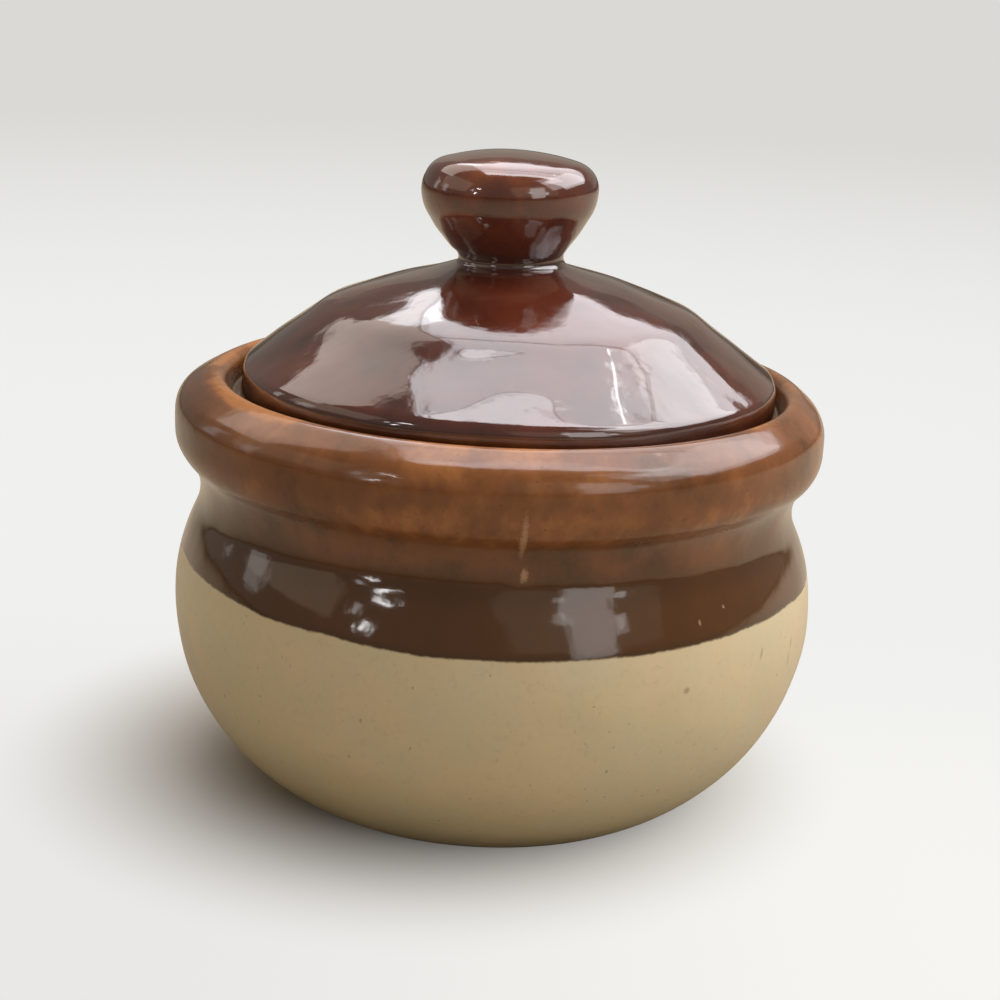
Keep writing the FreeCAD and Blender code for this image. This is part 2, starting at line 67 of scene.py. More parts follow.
camera = bpy.data.objects.new("camera", bpy.data.cameras.new("camera"))
camera.data.lens, camera.data.sensor_width = LENS, FILM_WIDTH
camera.data.clip_start = 0.01
camera.matrix_world = (Matrix.Translation(CAMERA_AT) @ Matrix.Rotation(math.pi / 2 - CAMERA_DOWN, 4, "X")
                       @ Matrix.Rotation(CAMERA_ROLL, 4, "Z"))
bpy.context.scene.collection.objects.link(camera)
bpy.context.scene.camera = camera

# %% [markdown]
# ## Reading an outline
# A turned pot is known by its outline: the edge of the clay when the pot is cut through the middle. The CAD
# node already has it, so a copy of its mesh is cut along the plane y = 0 and the right half is walked from
# the underside to the inside. Nothing is measured by eye, and a size changed in CAD changes the pot here.

# %% Cut both nodes and walk their outlines
WELD = 1e-6


def cut_outline(node):
    """The node's section at y = 0, x >= 0, as (radius, height) rows from the axis below to the axis above."""
    mesh = bmesh.new()
    mesh.from_mesh(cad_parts[node].data)
    bmesh.ops.remove_doubles(mesh, verts=mesh.verts, dist=WELD)
    cut = bmesh.ops.bisect_plane(mesh, geom=mesh.verts[:] + mesh.edges[:] + mesh.faces[:], dist=WELD,
                                 plane_co=(0, 0, 0), plane_no=(0, 1, 0))["geom_cut"]
    beside = {}
    for edge in cut:
        if isinstance(edge, bmesh.types.BMEdge) and min(v.co.x for v in edge.verts) > -10 * WELD:
            for one, other in (edge.verts, reversed(edge.verts)):
                beside.setdefault(one, []).append(other)
    walk = [min((v for v in beside if len(beside[v]) == 1), key=lambda v: v.co.z)]
    while ahead := [v for v in beside[walk[-1]] if v not in walk]:
        walk.append(ahead[0])
    rows = [(v.co.x, v.co.z) for v in walk]
    mesh.free()
    below = [(0.0, rows[0][1])] if rows[0][0] > WELD else []
    above = [(0.0, rows[-1][1])] if rows[-1][0] > WELD else []
    return np.array(below + rows + above)


crock_cut, lid_cut = cut_outline("crock"), cut_outline("lid")
print("cut through the crock:", len(crock_cut), "points, through the lid:", len(lid_cut))

# %% [markdown]
# ## A smooth outline from a faceted one
# The cut is a chain of short straight runs, and a glossy glaze would show each run as a stripe. So a smooth
# curve is laid through its points, level where it meets the axis. A sharp corner stays sharp, because there
# the curve arrives and leaves along the runs themselves.

# %% Lay a curve through the points
CORNER = math.radians(40)


def heading(way):
    """Each run's length and its direction as an angle that never jumps by a whole turn."""
    return np.linalg.norm(way, axis=1), np.unwrap(np.arctan2(way[:, 1], way[:, 0]))


def curve_through(rows, parts=8):
    """The rows, with each run between them bent into `parts` short ones that keep the sharp corners."""
    way = np.diff(rows, axis=0)
    length, angle = heading(way)
    along = way / length[:, None]
    through = rows[2:] - rows[:-2]
    through /= np.linalg.norm(through, axis=1)[:, None]
    corner = (np.abs(np.diff(angle)) > CORNER)[:, None]
    leave = np.vstack([[[1, 0]], np.where(corner, along[1:], through)])[:, None]
    arrive = np.vstack([np.where(corner, along[:-1], through), [[-1, 0]]])[:, None]
    t, reach = (np.arange(1, parts + 1) / parts)[None, :, None], length[:, None, None]
    start, end = rows[:-1, None], rows[1:, None]
    curve = ((2 * t**3 - 3 * t**2 + 1) * start + (3 * t**2 - 2 * t**3) * end
             + (t**3 - 2 * t**2 + t) * reach * leave + (t**3 - t**2) * reach * arrive)
    return np.vstack([rows[:1], curve.reshape(-1, 2)])


print("the curve through the crock's outline:", len(curve_through(crock_cut)), "points")

# %% [markdown]
# The outline is then stepped along that curve: about a millimetre at a time where it is straight, and closer
# where it turns. Even steps all along would either miss the tight bends or waste points on the flat. How hard
# the outline bends goes with each point, because the glaze thins over a ridge and pools in a hollow.

# %% Step along the curve
TURN_STEP = math.radians(9)
BEND_SOFTENED = 1.6 * MM
CROCK_STEP, LID_STEP = 1.2 * MM, 1.0 * MM


def smooth_outline(rows, step):
    """Rows of (radius, height, bend) along a smooth curve; bend is in turns per metre, plus on a ridge."""
    dense = curve_through(rows)
    length, angle = heading(np.diff(dense, axis=0))
    turned = np.concatenate([[0], np.abs(np.diff(angle))])
    place = np.concatenate([[0], np.cumsum(length / step + turned / TURN_STEP)])
    picks = np.linspace(0, place[-1], math.ceil(place[-1]) + 1)
    arc = np.concatenate([[0], np.cumsum(length)])
    middle = (arc[1:] + arc[:-1]) / 2
    spot = np.interp(picks, place, arc)
    after, before = (np.interp(spot + way * BEND_SOFTENED, middle, angle) for way in (1, -1))
    bend = (after - before) / (2 * BEND_SOFTENED)
    fine = np.column_stack([np.interp(spot, arc, dense[:, 0]), np.interp(spot, arc, dense[:, 1]),
                            bend / math.tau])
    fine[[0, -1], 0] = 0.0
    return fine


crock_line, lid_line = smooth_outline(crock_cut, CROCK_STEP), smooth_outline(lid_cut, LID_STEP)
print("smooth outlines: crock", len(crock_line), "points, lid", len(lid_line), "points")

# %% [markdown]
# ## Small helpers for node trees
# Trees for shapes and for finishes are both written as a list of nodes. `add` makes a node, sets it up, and
# gives each input a value or a link, so a tree reads from top to bottom. The others are sums on numbers or
# on sockets, named as they would be said.

# %% Node helpers


def add(tree, kind, inputs=None, **settings):
    """A new node: its settings, then each input by name or place, set to a value or linked to a socket."""
    node = tree.nodes.new(kind)
    for key, value in settings.items():
        setattr(node, key, value)
    for key, value in (inputs or {}).items():
        if isinstance(value, bpy.types.NodeSocket):
            tree.links.new(value, node.inputs[key])
        else:
            node.inputs[key].default_value = value
    return node


def calc(tree, operation, *terms):
    """The output of a Math node."""
    return add(tree, "ShaderNodeMath", dict(enumerate(terms)), operation=operation).outputs[0]


def plus(tree, first, second):
    return calc(tree, "ADD", first, second)


def minus(tree, first, second):
    return calc(tree, "SUBTRACT", first, second)


def times(tree, first, *others):
    for other in others:
        first = calc(tree, "MULTIPLY", first, other)
    return first


def from_axis(tree, x, y):
    """The distance from the axis that the pot turns about."""
    return calc(tree, "SQRT", plus(tree, times(tree, x, x), times(tree, y, y)))


# %% [markdown]
# ## The wheel
# On a wheel the outline is the same all the way round. A screw modifier could turn it too, but Geometry
# Nodes let the hand's work follow in the same tree, each part of it with a named input. `TRAITS` are values
# that every point of the outline carries: how it bends, whether it is on the inside, and how much of each
# kind of hand's work it takes, so the faces where the two pieces touch stay true.

# %% Name what the wheel takes
WHEEL_SIZES = {"Steps around": ("Int", 288), "Wave": ("Float", 0.0), "Wave size": ("Float", 40 * MM),
               "Ripple": ("Float", 0.0), "Ripple size": ("Float", 9 * MM), "Seed": ("Float", 0.0),
               "Drift": ("Float", 0.0), "Tip": ("Float", 0.0), "Run": ("Float", 0.0),
               "Run angle": ("Float", 0.0), "Run width": ("Float", 1.6 * MM), "Glaze": ("Material", None)}
TRAITS = ("bend", "loose", "drift", "tip", "run", "inner")

wheel = bpy.data.node_groups.new("wheel", "GeometryNodeTree")
wheel.interface.new_socket("Outline", in_out="INPUT", socket_type="NodeSocketGeometry")
for title, (kind, default) in WHEEL_SIZES.items():
    socket = wheel.interface.new_socket(title, in_out="INPUT", socket_type="NodeSocket" + kind)
    if default is not None:
        socket.default_value = default
wheel.interface.new_socket("Turned", in_out="OUTPUT", socket_type="NodeSocketGeometry")


def trait(tree, name):
    """The named value that each point carries."""
    return add(tree, "GeometryNodeInputNamedAttribute", {"Name": name}, data_type="FLOAT").outputs[0]


print("the wheel takes", ", ".join(WHEEL_SIZES))

# %% [markdown]
# The turning is done with a grid: its rows are the outline's points and its columns are steps around the
# axis. Each grid point looks up its outline point, turns it by its column's angle and copies its traits. The
# last column is welded to the first, and the ends of the outline are welded on the axis.

# %% Turn the outline


def turn_outline(tree, given):
    """The outline and its traits, turned about the Z axis into one welded surface."""
    rows = add(tree, "GeometryNodeAttributeDomainSize", {0: given["Outline"]}).outputs[0]
    index = add(tree, "GeometryNodeInputIndex").outputs[0]
    row = calc(tree, "MODULO", index, rows)
    column = calc(tree, "FLOOR", calc(tree, "DIVIDE", plus(tree, index, 0.5), rows))
    grid = add(tree, "GeometryNodeMeshGrid",
               {"Vertices X": plus(tree, given["Steps around"], 1.0), "Vertices Y": rows})

    def from_outline(kind, value):
        look_up = {"Geometry": given["Outline"], "Value": value, "Index": row}
        return add(tree, "GeometryNodeSampleIndex", look_up, data_type=kind, domain="POINT").outputs[0]

    point = from_outline("FLOAT_VECTOR", add(tree, "GeometryNodeInputPosition").outputs[0])
    angle = times(tree, column, calc(tree, "DIVIDE", math.tau, given["Steps around"]))
    turned = add(tree, "ShaderNodeVectorRotate", {"Vector": point, "Angle": angle},
                 rotation_type="Z_AXIS").outputs[0]
    shape = add(tree, "GeometryNodeSetPosition", {"Geometry": grid.outputs[0], "Position": turned}).outputs[0]
    for name in TRAITS:
        carried = {"Geometry": shape, "Name": name, "Value": from_outline("FLOAT", trait(tree, name))}
        shape = add(tree, "GeometryNodeStoreNamedAttribute", carried, data_type="FLOAT",
                    domain="POINT").outputs[0]
    return add(tree, "GeometryNodeMergeByDistance", {"Geometry": shape, "Distance": WELD}).outputs[0]


# %% [markdown]
# Hands leave a slow wave and a finer ripple, which push the surface in and out. A run of glaze stands proud
# in one place: a ridge that is highest along one angle and falls away on both sides of it. Both are pushes
# along the normal, so they can be added up and made in one move.

# %% Waves and the run of glaze
RIPPLE_SEED = 10.0


def wave(tree, given, depth, size, seed_step):
    """A push in or out along the normal, as deep as the input `depth`, in lumps of the input `size`."""
    lumps = add(tree, "ShaderNodeTexNoise", {"Scale": calc(tree, "DIVIDE", 1.0, given[size]), "Detail": 0.0,
                                             "W": plus(tree, given["Seed"], seed_step)},
                noise_dimensions="4D").outputs[0]
    return times(tree, minus(tree, lumps, 0.5), times(tree, given[depth], 2.0))


def glaze_run(tree, given, x, y):
    """1 along the middle of the run, falling to 0 on both sides, and only in front."""
    round_pot = calc(tree, "ARCTAN2", x, times(tree, y, -1.0))
    sideways = times(tree, minus(tree, round_pot, given["Run angle"]), from_axis(tree, x, y))
    beside_run = calc(tree, "DIVIDE", sideways, given["Run width"])
    ridge = calc(tree, "EXPONENT", times(tree, beside_run, beside_run, -1.0))
    return times(tree, ridge, calc(tree, "LESS_THAN", y, 0.0), trait(tree, "run"))


# %% [markdown]
# What was thrown a little off centre drifts sideways, and a knob that was set on by hand tips. These come
# last, after the pushes, so that they move the finished surface as a whole.

# %% Put the wheel together


def move(tree, shape, offset):
    """The shape with every point moved by the offset."""
    return add(tree, "GeometryNodeSetPosition", {"Geometry": shape, "Offset": offset}).outputs[0]


def fill_wheel(tree):
    """All of the wheel's nodes, from the outline to the turned piece."""
    given = add(tree, "NodeGroupInput").outputs
    shape = turn_outline(tree, given)
    position = add(tree, "GeometryNodeInputPosition").outputs[0]
    x, y, _ = add(tree, "ShaderNodeSeparateXYZ", {0: position}).outputs
    hand = plus(tree, wave(tree, given, "Wave", "Wave size", 0.0),
                wave(tree, given, "Ripple", "Ripple size", RIPPLE_SEED))
    push = plus(tree, times(tree, hand, trait(tree, "loose")),
                times(tree, glaze_run(tree, given, x, y), given["Run"]))
    shape = move(tree, shape, add(tree, "ShaderNodeVectorMath", {
        0: add(tree, "GeometryNodeInputNormal").outputs[0], "Scale": push}, operation="SCALE").outputs[0])
    shape = move(tree, shape, add(tree, "ShaderNodeCombineXYZ", {
        "X": times(tree, given["Drift"], trait(tree, "drift")),
        "Z": times(tree, given["Tip"], trait(tree, "tip"), x)}).outputs[0])
    shape = add(tree, "GeometryNodeSetShadeSmooth", {"Geometry": shape}).outputs[0]
    shape = add(tree, "GeometryNodeRealizeInstances", {"Geometry": shape}).outputs[0]
    shape = add(tree, "GeometryNodeSetMaterial", {"Geometry": shape, "Material": given["Glaze"]}).outputs[0]
    add(tree, "NodeGroupOutput", {"Turned": shape})


fill_wheel(wheel)
print("the wheel:", len(wheel.nodes), "nodes")

# %% [markdown]
# ## Shader helpers
# A finish is a tree as well. These make its usual steps: a noise, a soft step from 0 to 1, and a mix of two
# colours. Colours are written as they look on a screen and turned into light here.

# %% Shader helpers


def ink(red, green, blue):
    """A screen colour, 0 to 255, as linear light."""
    return tuple((c / 12.92 if c <= 0.04045 else ((c + 0.055) / 1.055) ** 2.4)
                 for c in (red / 255, green / 255, blue / 255)) + (1.0,)


def flat(value):
    """One number as a colour, for a blend of two numbers."""
    return (value,) * 4


def noise(tree, place, size, detail=2.0, roughness=0.5, stretch=(1, 1, 1), shift=0.0):
    """Noise from 0 to 1 in lumps of about `size`, stretched along an axis where its factor is below 1."""
    at = add(tree, "ShaderNodeMapping", {"Vector": place, "Scale": stretch, "Location": (shift,) * 3})
    return add(tree, "ShaderNodeTexNoise", {"Vector": at.outputs[0], "Scale": 1 / size, "Detail": detail,
                                            "Roughness": roughness}).outputs[0]


def step_up(tree, value, low, high, bottom=0.0, top=1.0):
    """`bottom` up to the value `low`, `top` from `high` on, smooth between; low may be the larger."""
    return add(tree, "ShaderNodeMapRange", {"Value": value, "From Min": low, "From Max": high,
                                            "To Min": bottom, "To Max": top},
               interpolation_type="SMOOTHSTEP").outputs[0]


def blend(tree, factor, first, second):
    """The first colour where the factor is 0, the second where it is 1."""
    return add(tree, "ShaderNodeMix", {0: factor, 6: first, 7: second}, data_type="RGBA").outputs[2]


print("a screen grey of 128 is", round(ink(128, 128, 128)[0], 3), "as light")

# %% [markdown]
# What both pieces share is put in a group: a small tree with its own sockets, placed like a single node. A
# change to the group then changes every finish that uses it.

# %% Group helpers


def new_finish_group(name, inputs, outputs):
    """An empty shader group with its sockets, and the sockets that its tree starts from."""
    group = bpy.data.node_groups.new(name, "ShaderNodeTree")
    for way, sockets in (("INPUT", inputs), ("OUTPUT", outputs)):
        for title, kind in sockets.items():
            group.interface.new_socket(title, in_out=way, socket_type="NodeSocket" + kind)
    return group, add(group, "NodeGroupInput").outputs


def use(tree, group, **inputs):
    """The outputs of a group placed in a tree."""
    given = {title.replace("_", " "): value for title, value in inputs.items()}
    return add(tree, "ShaderNodeGroup", given, node_tree=group).outputs


# %% [markdown]
# ## A brown glaze that breaks
# Stoneware glaze is a coloured glass, and it lies unevenly. It creeps downwards as it melts, so its clouds
# are taller than wide. Three noises stand for that: wide banks, clouds and fine streaks. They count for more
# where the glaze is thin. A ridge in the clay thins it as well. Noise is used and not a painted map, because
# it stays sharp however close the camera comes.

# %% Brown glaze: how deep it lies
BANK_SIZE, CLOUD_SIZE, STREAK_SIZE = 34 * MM, 11 * MM, 3.2 * MM
BANKS, CLOUDS, STREAKS = 1.6, 1.9, 0.3
EVEN_THICKNESS, UNEVEN_WHEN_THIN, THINNED_BY_BEND = 1.06, 2.05, 0.0065

brown_glaze, given = new_finish_group(
    "brown_glaze", {"Place": "Vector", "Bend": "Float", "Thickness": "Float", "Thin": "Color",
                    "Glaze": "Color", "Pooled": "Color"}, {"Color": "Color", "Height": "Float"})


def swing(tree, value, amount):
    """A noise as a push to both sides of 0."""
    return times(tree, minus(tree, value, 0.5), amount)


clouds = noise(brown_glaze, given["Place"], CLOUD_SIZE, 4.0, 0.62, (1, 1, 0.8))
streaks = noise(brown_glaze, given["Place"], STREAK_SIZE, 3.0, 0.6, (1, 1, 0.4), 0.4)
banks = noise(brown_glaze, given["Place"], BANK_SIZE, 1.0, 0.5, shift=5.0)
uneven = plus(brown_glaze, swing(brown_glaze, clouds, CLOUDS), swing(brown_glaze, streaks, STREAKS))
uneven = plus(brown_glaze, uneven, swing(brown_glaze, banks, BANKS))
thinness = times(brown_glaze, minus(brown_glaze, EVEN_THICKNESS, given["Thickness"]), UNEVEN_WHEN_THIN)
ridges = times(brown_glaze, given["Bend"], THINNED_BY_BEND)
depth = minus(brown_glaze, minus(brown_glaze, given["Thickness"], ridges),
              times(brown_glaze, uneven, thinness))
print("brown glaze, its depth:", len(brown_glaze.nodes), "nodes")

# %% [markdown]
# Depth picks the colour. Where the glaze runs thin the pale clay shows and it turns amber; where it pools it
# is nearly black. Iron leaves fine dark freckles. The skin is never quite flat, so the group gives a height
# too. Both pieces use it, each with its own three colours.

# %% Brown glaze: colour and skin
TO_THIN, TO_POOLED = (0.45, -0.35), (0.35, 1.15)
FRECKLE_SIZE, FRECKLE_STEP, FRECKLES = 0.9 * MM, (0.68, 0.8), 0.5
SKIN_SIZE, SKIN, DIMPLE_SIZE, DIMPLES = 5 * MM, 0.16, 2.4 * MM, 0.035

colour = blend(brown_glaze, step_up(brown_glaze, depth, *TO_THIN), given["Glaze"], given["Thin"])
colour = blend(brown_glaze, step_up(brown_glaze, depth, *TO_POOLED), colour, given["Pooled"])
freckle = noise(brown_glaze, given["Place"], FRECKLE_SIZE, 1.0, shift=2.0)
freckle = step_up(brown_glaze, freckle, *FRECKLE_STEP, 0.0, FRECKLES)
colour = blend(brown_glaze, freckle, colour, given["Pooled"])
skin = noise(brown_glaze, given["Place"], SKIN_SIZE, 1.5, 0.4)
dimples = noise(brown_glaze, given["Place"], DIMPLE_SIZE, 2.0, 0.5, shift=1.0)
height = plus(brown_glaze, times(brown_glaze, skin, SKIN), times(brown_glaze, dimples, DIMPLES))
add(brown_glaze, "NodeGroupOutput", {"Color": colour, "Height": height})
print("brown glaze:", len(brown_glaze.nodes), "nodes")

# %% [markdown]
# ## Single marks
# A few marks are in one place only: a scuff, a burst bubble, a painted highlight along a run. Each is a soft
# oval laid on the surface at an angle round the pot and a height, so it is set by the maker and not by
# chance.
# A fine noise makes its edge ragged.

# %% Mark group
MARK_DEPTH = 4.0
RAGGED_SIZE, RAGGED, MARK_EDGE = 0.5 * MM, 0.9, (1.5, 0.7)

mark, given = new_finish_group("mark", {"Place": "Vector", "Centre": "Vector", "Turn": "Vector",
                                        "Reach": "Vector"}, {"Mask": "Float"})
from_centre = add(mark, "ShaderNodeVectorMath", {0: given["Place"], 1: given["Centre"]}, operation="SUBTRACT")
lined_up = add(mark, "ShaderNodeVectorRotate", {"Vector": from_centre.outputs[0], "Rotation": given["Turn"]},
               rotation_type="EULER_XYZ", invert=True)
in_reaches = add(mark, "ShaderNodeVectorMath", {0: lined_up.outputs[0], 1: given["Reach"]},
                 operation="DIVIDE")
away = add(mark, "ShaderNodeVectorMath", {0: in_reaches.outputs[0]}, operation="LENGTH").outputs["Value"]
ragged = plus(mark, away, times(mark, noise(mark, given["Place"], RAGGED_SIZE), RAGGED))
add(mark, "NodeGroupOutput", {"Mask": step_up(mark, ragged, *MARK_EDGE)})


def marks(tree, place, spots):
    """One mask for several marks: degrees right of the front, radius, height, across, up (mm) and lean."""
    total = 0.0
    for degrees, radius, height, across, up, lean in spots:
        turn = math.radians(degrees)
        centre = Vector((radius * math.sin(turn), -radius * math.cos(turn), height)) * MM
        one = use(tree, mark, Place=place, Centre=centre, Turn=(0, math.radians(lean), turn),
                  Reach=Vector((across, MARK_DEPTH, up)) * MM)["Mask"]
        total = calc(tree, "MAXIMUM", total, one)
    return total


print("mark:", len(mark.nodes), "nodes")

# %% [markdown]
# ## Starting and closing a finish
# Both glazes start from the place on the object and the outline's bend, and end in one shader with a bump.
# What is the same all over, such as how strongly the glass bends light, is set on the shader itself.

# %% Finish helpers


def new_finish(name, **fixed):
    """A material with its Principled shader's fixed values set, and what its tree starts from."""
    finish = bpy.data.materials.new(name)
    finish.use_nodes = True
    tree = finish.node_tree
    shader = tree.nodes["Principled BSDF"]
    for title, value in fixed.items():
        shader.inputs[title.replace("_", " ")].default_value = value
    place = add(tree, "ShaderNodeTexCoord").outputs["Object"]
    bend = add(tree, "ShaderNodeAttribute", attribute_name="bend").outputs["Fac"]
    return finish, tree, shader, place, bend


def connect(tree, shader, height, **sockets):
    """Link the changing inputs, and the height in millimetres through a bump."""
    for title, value in sockets.items():
        tree.links.new(value, shader.inputs[title.replace("_", " ")])
    bump = add(tree, "ShaderNodeBump", {"Height": height, "Distance": MM, "Strength": 1.0})
    tree.links.new(bump.outputs[0], shader.inputs["Normal"])


# %% [markdown]
# ## The crock: brown over buff
# The pot was dipped twice. The buff glaze covers the belly, and the brown one was poured over the rim and the
# inside down to a line. The line is a plane that is a little tilted, and a slow and a fine noise make it
# waver with the hand. Two materials would meet in a jagged edge of faces, so it is one finish with a mask.

# %% Crock glaze: where the brown ends
LINE_HEIGHT, LINE_RIGHT, LINE_BACK = 46.8 * MM, -0.0115, 0.0366
LINE_EDGE = (-0.15 * MM, 0.35 * MM)
WAVER_SIZE, WAVER, FRAY_SIZE, FRAY = 22 * MM, 1.6 * MM, 1.6 * MM, 0.5 * MM

crock_glaze, tree, shader, place, bend = new_finish(
    "crock_glaze", IOR=1.5, Specular_IOR_Level=0.5, Coat_Roughness=0.06, Coat_IOR=1.45)
x, y, z = add(tree, "ShaderNodeSeparateXYZ", {0: place}).outputs
tilt = plus(tree, times(tree, x, LINE_RIGHT), times(tree, y, LINE_BACK))
waver = plus(tree, times(tree, noise(tree, place, WAVER_SIZE), WAVER),
             times(tree, noise(tree, place, FRAY_SIZE), FRAY))
above = minus(tree, minus(tree, z, plus(tree, tilt, waver)), LINE_HEIGHT - (WAVER + FRAY) / 2)
inner = add(tree, "ShaderNodeAttribute", attribute_name="inner").outputs["Fac"]
outer = minus(tree, 1.0, inner)
brown = calc(tree, "MAXIMUM", step_up(tree, above, *LINE_EDGE), inner)
print("glaze line", round(LINE_HEIGHT / MM, 1), "mm up at the axis")

# %% [markdown]
# The brown ran off the rim while it was wet, so it is thin there and full on the band below. The slope just
# inside the crest has drained most, in patches, and turns orange. All along the left that slope is painted
# more
# orange still: painted light on the inner slope that faces the bright right side. The outside of the roll is
# painted darker on the left, as painted shade on the dim side, and paler right under it, as a painted sheen.
# Each of these is a soft step by height, by distance from the axis or by side, which is easier to place than
# a painted map.

# %% Crock glaze: how thick the brown lies
RIM_TO_BAND, RIM_THICKNESS, BAND_THICKNESS = (62 * MM, 54 * MM), 0.52, 1.0
LIP_FROM, LIP_TO, LIP_ABOVE = (57.5 * MM, 55.5 * MM), (53.0 * MM, 54.2 * MM), (75 * MM, 77 * MM)
PATCH_SIZE, PATCH_STEP, PATCHES, LEFT_PAINTED_LIGHT = 20 * MM, (0.5, 0.72), 0.8, (-26 * MM, -46 * MM)
LEFT_PAINTED_SHADE, ROLL_OUTSIDE = (-34 * MM, -56 * MM), (56 * MM, 58 * MM)
UNDER_ROLL_SHEEN, INTO_ROLL = (63 * MM, 65 * MM), (72 * MM, 68 * MM)
LIP_LOSES, LEFT_SHADE_GAINS, UNDER_ROLL_SHEEN_AMOUNT = 0.5, 0.35, 0.15

out = from_axis(tree, x, y)
patches = step_up(tree, noise(tree, place, PATCH_SIZE, shift=6.0), *PATCH_STEP, 0.0, PATCHES)
# Painted light: all along the left the inner slope is made more orange; the patches are the glaze's own.
drained_and_lit = calc(tree, "MAXIMUM", patches, step_up(tree, x, *LEFT_PAINTED_LIGHT))
lip = times(tree, step_up(tree, out, *LIP_FROM), step_up(tree, z, *LIP_ABOVE))
lip = times(tree, lip, drained_and_lit, step_up(tree, out, *LIP_TO))
# Painted shade: the outside of the roll is made thicker, so darker, on the left.
left_painted_shade = times(tree, step_up(tree, x, *LEFT_PAINTED_SHADE, 0.0, LEFT_SHADE_GAINS), step_up(tree, out, *ROLL_OUTSIDE))
# Painted sheen: the glaze is made thinner, so paler, right under the roll.
painted_sheen_under_roll = times(tree, step_up(tree, z, *UNDER_ROLL_SHEEN),
                   step_up(tree, z, *INTO_ROLL, 0.0, UNDER_ROLL_SHEEN_AMOUNT))
thick = step_up(tree, z, *RIM_TO_BAND, RIM_THICKNESS, BAND_THICKNESS)
thick = plus(tree, minus(tree, thick, times(tree, lip, LIP_LOSES)), left_painted_shade)
thick = minus(tree, thick, painted_sheen_under_roll)
print("brown:", RIM_THICKNESS, "thick on the rim,", BAND_THICKNESS, "on the band")

# %% [markdown]
# The brown's colour comes from the shared group. Along the line its edge is dark and a bit blurred, where
# the two glazes melted together, so a darker fringe is laid over the first millimetre and a half.

# %% Crock glaze: the brown's colour
FRINGE_STEP, FRINGE = (1.6 * MM, 0.2 * MM), 0.6

glaze = use(tree, brown_glaze, Place=place, Bend=bend, Thickness=thick, Thin=ink(187, 121, 65),
            Glaze=ink(134, 82, 45), Pooled=ink(86, 54, 22))
fringe = times(tree, step_up(tree, above, *FRINGE_STEP), outer, FRINGE)
brown_colour = blend(tree, fringe, glaze["Color"], ink(72, 52, 28))
print("crock glaze so far:", len(tree.nodes), "nodes")

# %% [markdown]
# The buff glaze is warm in places and greenish in others. Towards the foot it is painted darker and a little
# greener: partly a grey-green stain, partly painted shade low down by the floor. A fine grain and rare
# iron specks show in it. These come from noise, as they have no set place. A few grey scuffs at the right,
# where the pot is widest, do have one, so they are marks.

# %% Crock glaze: the buff's colour
WARM_STEP, LOW_STEP, PAINTED_FOOT_SHADE = (0.35, 0.65), (24 * MM, 3 * MM), 0.32
GRAIN_SIZE, GRAIN_STEP, GRAIN = 1.4 * MM, (0.5, 0.8), 0.22
IRON_SIZE, IRON_STEP, IRON, SCUFFS = 1.0 * MM, (0.80, 0.88), 0.4, 0.5

warm = step_up(tree, noise(tree, place, 17 * MM, 4.0, 0.6, shift=0.7), *WARM_STEP)
buff = blend(tree, warm, ink(227, 213, 175), ink(234, 213, 172))
# Painted shade, with a grey-green stain: darker and greener towards the foot.
low = step_up(tree, z, *LOW_STEP)
buff = blend(tree, times(tree, low, PAINTED_FOOT_SHADE), buff, ink(176, 168, 134))
grain = noise(tree, place, GRAIN_SIZE, 3.0, 0.7, shift=0.3)
buff = blend(tree, step_up(tree, grain, *GRAIN_STEP, 0.0, GRAIN), buff, ink(186, 164, 116))
iron = noise(tree, place, IRON_SIZE, 0.0, shift=3.0)
buff = blend(tree, step_up(tree, iron, *IRON_STEP, 0.0, IRON), buff, ink(110, 84, 52))
scuffs = marks(tree, place, [(53.5, 61.8, 39.2, 0.45, 1.6, 20), (65.0, 61.8, 38.0, 0.4, 1.8, 14),
                             (64.5, 61.6, 34.8, 0.4, 1.7, 8), (34.5, 61.8, 37.0, 0.9, 0.8, 0)])
buff = blend(tree, times(tree, scuffs, SCUFFS), buff, ink(128, 118, 84))
print("crock glaze so far:", len(tree.nodes), "nodes")

# %% [markdown]
# The two colours are laid together by the mask. The lowest edge of the foot is bare clay, wiped clean so
# that it does not stick in the kiln. A painted highlight lies along the run of glaze and at its lower end,
# and two small bubbles have burst in the band. They are laid on last, over both glazes.

# %% Crock glaze: the foot and the marks
FOOT_STEP, RUN_HIGHLIGHT, BUBBLES = (0.7 * MM, 0.25 * MM), 0.65, 0.6

colour = blend(tree, brown, buff, brown_colour)
bare = times(tree, step_up(tree, z, *FOOT_STEP), outer)
colour = blend(tree, bare, colour, ink(196, 170, 134))
# Painted highlight: a pale pink streak along the run and a brighter spot at its lower end.
run_highlight = marks(tree, place, [(4.8, 60.5, 66.0, 0.8, 6.5, 2), (5.5, 57.5, 58.6, 0.9, 1.8, 0)])
colour = blend(tree, times(tree, run_highlight, RUN_HIGHLIGHT), colour, ink(212, 166, 130))
bubbles = marks(tree, place, [(44.0, 59.6, 50.0, 0.5, 0.4, 0), (37.9, 60.1, 48.4, 0.35, 0.7, 0)])
colour = blend(tree, times(tree, bubbles, BUBBLES), colour, ink(196, 160, 128))
print("crock glaze so far:", len(tree.nodes), "nodes")

# %% [markdown]
# Gloss follows the glazes: buff is the dullest, the brown band the sharpest, the rim between them, and bare
# clay has no gloss. A clear coat over the base gives the sharp reflections; the rim has less of it, and the
# drained lip less still. The brown stands a tenth of a millimetre proud, and a burst bubble is a small pit.

# %% Crock glaze: gloss and height
RIM_STEP = (62 * MM, 68 * MM)
BUFF_ROUGH, BAND_ROUGH, RIM_ROUGH, CLAY_ROUGH = 0.34, 0.10, 0.18, 0.85
BUFF_COAT, BROWN_COAT, RIM_COAT_LOSS, LIP_COAT_LOSS = 0.3, 0.6, 0.38, 0.7
BROWN_PROUD, BUBBLE_DEPTH = 0.10, 0.08

